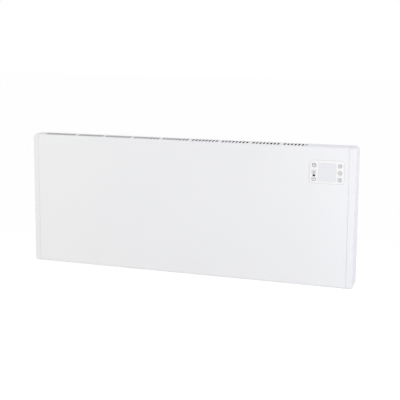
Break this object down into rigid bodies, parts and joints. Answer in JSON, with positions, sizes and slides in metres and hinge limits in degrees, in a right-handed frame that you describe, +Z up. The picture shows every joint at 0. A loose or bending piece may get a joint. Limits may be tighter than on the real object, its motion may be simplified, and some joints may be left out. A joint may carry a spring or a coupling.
{
  "type": "wall panel convector heater",
  "caption": "Flat wall-hung electric convector heater with a smooth folded front, rounded end caps, slotted air outlet on top and a small display panel with keys.",
  "frame": {"origin": "centre of the four wall screws, on the wall plane, behind the middle of the body", "axes": "+X to the right seen from the room, +Y into the wall, +Z up"},
  "size_m": [1, 0.0871, 0.4068],
  "materials": {
    "white_enamel": "fine powder coat, satin",
    "white_moulding": "fine moulded grain",
    "fascia_film": "satin with printed outlines",
    "key_plastic": "satin with a printed symbol",
    "clear_pane": "polished",
    "display_grey": "smooth",
    "dark_lens": "polished",
    "galvanised_steel": "zinc coated",
    "zinc_fastener": "bright zinc plate",
    "sheath_steel": "oxidised stainless",
    "fin_aluminium": "extruded, uncoated",
    "bush_ceramic": "unglazed",
    "contact_brass": "stamped and tinned",
    "black_moulding": "fine moulded grain",
    "component_black": "moulded epoxy",
    "relay_blue": "moulded",
    "transformer_yellow": "taped winding",
    "board_green": "solder mask",
    "can_aluminium": "drawn can",
    "fuse_glass": "clear tube",
    "nylon_natural": "moulded",
    "lead_white": "silicone sleeve",
    "lead_blue": "insulation",
    "ribbon_grey": "flat cable"
  },
  "bodies": {
    "wall_mount": {"left_wall_bracket": "galvanised_steel", "right_wall_bracket": "galvanised_steel"},
    "heater": {"front_panel": "white_enamel", "rear_panel": "white_enamel", "left_end_cap": "white_moulding", "right_end_cap": "white_moulding", "casing_screws": "zinc_fastener", "control_bay_partition": "galvanised_steel", "rear_heat_shield": "galvanised_steel", "element_bracket": "galvanised_steel", "rear_panel_rivets": "can_aluminium", "lower_element_fins": "fin_aluminium", "upper_element_fins": "fin_aluminium", "lower_element_rod": "sheath_steel", "upper_element_rod": "sheath_steel", "element_bushes": "bush_ceramic", "element_terminals": "contact_brass", "element_leads": "lead_white", "mains_leads": "lead_blue", "thermal_cutout": "component_black", "thermal_fuse": "can_aluminium", "fuse_clip": "galvanised_steel", "control_fascia": "fascia_film", "display_window": "clear_pane", "display_glass": "display_grey", "display_backlight": "display_grey", "display_board": "board_green", "display_ribbon": "ribbon_grey", "display_housing": "white_moulding", "housing_screws": "zinc_fastener", "tact_switches": "component_black", "infrared_window": "dark_lens", "infrared_receiver": "component_black", "power_board": "board_green", "board_standoffs": "nylon_natural", "board_screws": "zinc_fastener", "power_relays": "relay_blue", "supply_transformer": "transformer_yellow", "supply_capacitors": "component_black", "mains_fuse": "fuse_glass", "fuse_holders": "contact_brass", "board_connectors": "nylon_natural", "radio_module": "can_aluminium", "terminal_block": "nylon_natural", "terminal_screws": "zinc_fastener", "switch_housing": "black_moulding", "switch_lugs": "contact_brass", "cord_gland": "black_moulding", "gland_nut": "black_moulding", "room_sensor": "zinc_fastener", "sensor_collar": "nylon_natural", "earth_stud": "contact_brass", "earth_nut": "contact_brass"},
    "main_switch": {"switch_rocker": "black_moulding"},
    "mode_key": {"mode_button": "key_plastic"},
    "cancel_key": {"cancel_button": "key_plastic"},
    "power_key": {"power_button": "key_plastic"},
    "timer_key": {"timer_button": "key_plastic"},
    "plus_key": {"plus_button": "key_plastic"},
    "minus_key": {"minus_button": "key_plastic"}
  },
  "joints": [
    {"name": "heater_lift", "type": "slide", "parent": "wall_mount", "child": "heater", "axis": [0, 0, 1], "range_m": [0, 0.012]},
    {"name": "main_switch_rock", "type": "hinge", "parent": "heater", "child": "main_switch", "pos_m": [0.43, -0.051, -0.197], "axis": [0, 1, 0], "range_deg": [0, 20]},
    {"name": "mode_press", "type": "slide", "parent": "heater", "child": "mode_key", "axis": [0, 1, 0], "range_m": [0, 0.0008], "stiffness_N_per_m": 800, "springref_m": -0.001},
    {"name": "cancel_press", "type": "slide", "parent": "heater", "child": "cancel_key", "axis": [0, 1, 0], "range_m": [0, 0.0008], "stiffness_N_per_m": 800, "springref_m": -0.001},
    {"name": "power_press", "type": "slide", "parent": "heater", "child": "power_key", "axis": [0, 1, 0], "range_m": [0, 0.0008], "stiffness_N_per_m": 800, "springref_m": -0.001},
    {"name": "timer_press", "type": "slide", "parent": "heater", "child": "timer_key", "axis": [0, 1, 0], "range_m": [0, 0.0008], "stiffness_N_per_m": 800, "springref_m": -0.001},
    {"name": "plus_press", "type": "slide", "parent": "heater", "child": "plus_key", "axis": [0, 1, 0], "range_m": [0, 0.0008], "stiffness_N_per_m": 800, "springref_m": -0.001},
    {"name": "minus_press", "type": "slide", "parent": "heater", "child": "minus_key", "axis": [0, 1, 0], "range_m": [0, 0.0008], "stiffness_N_per_m": 800, "springref_m": -0.001}
  ]
}
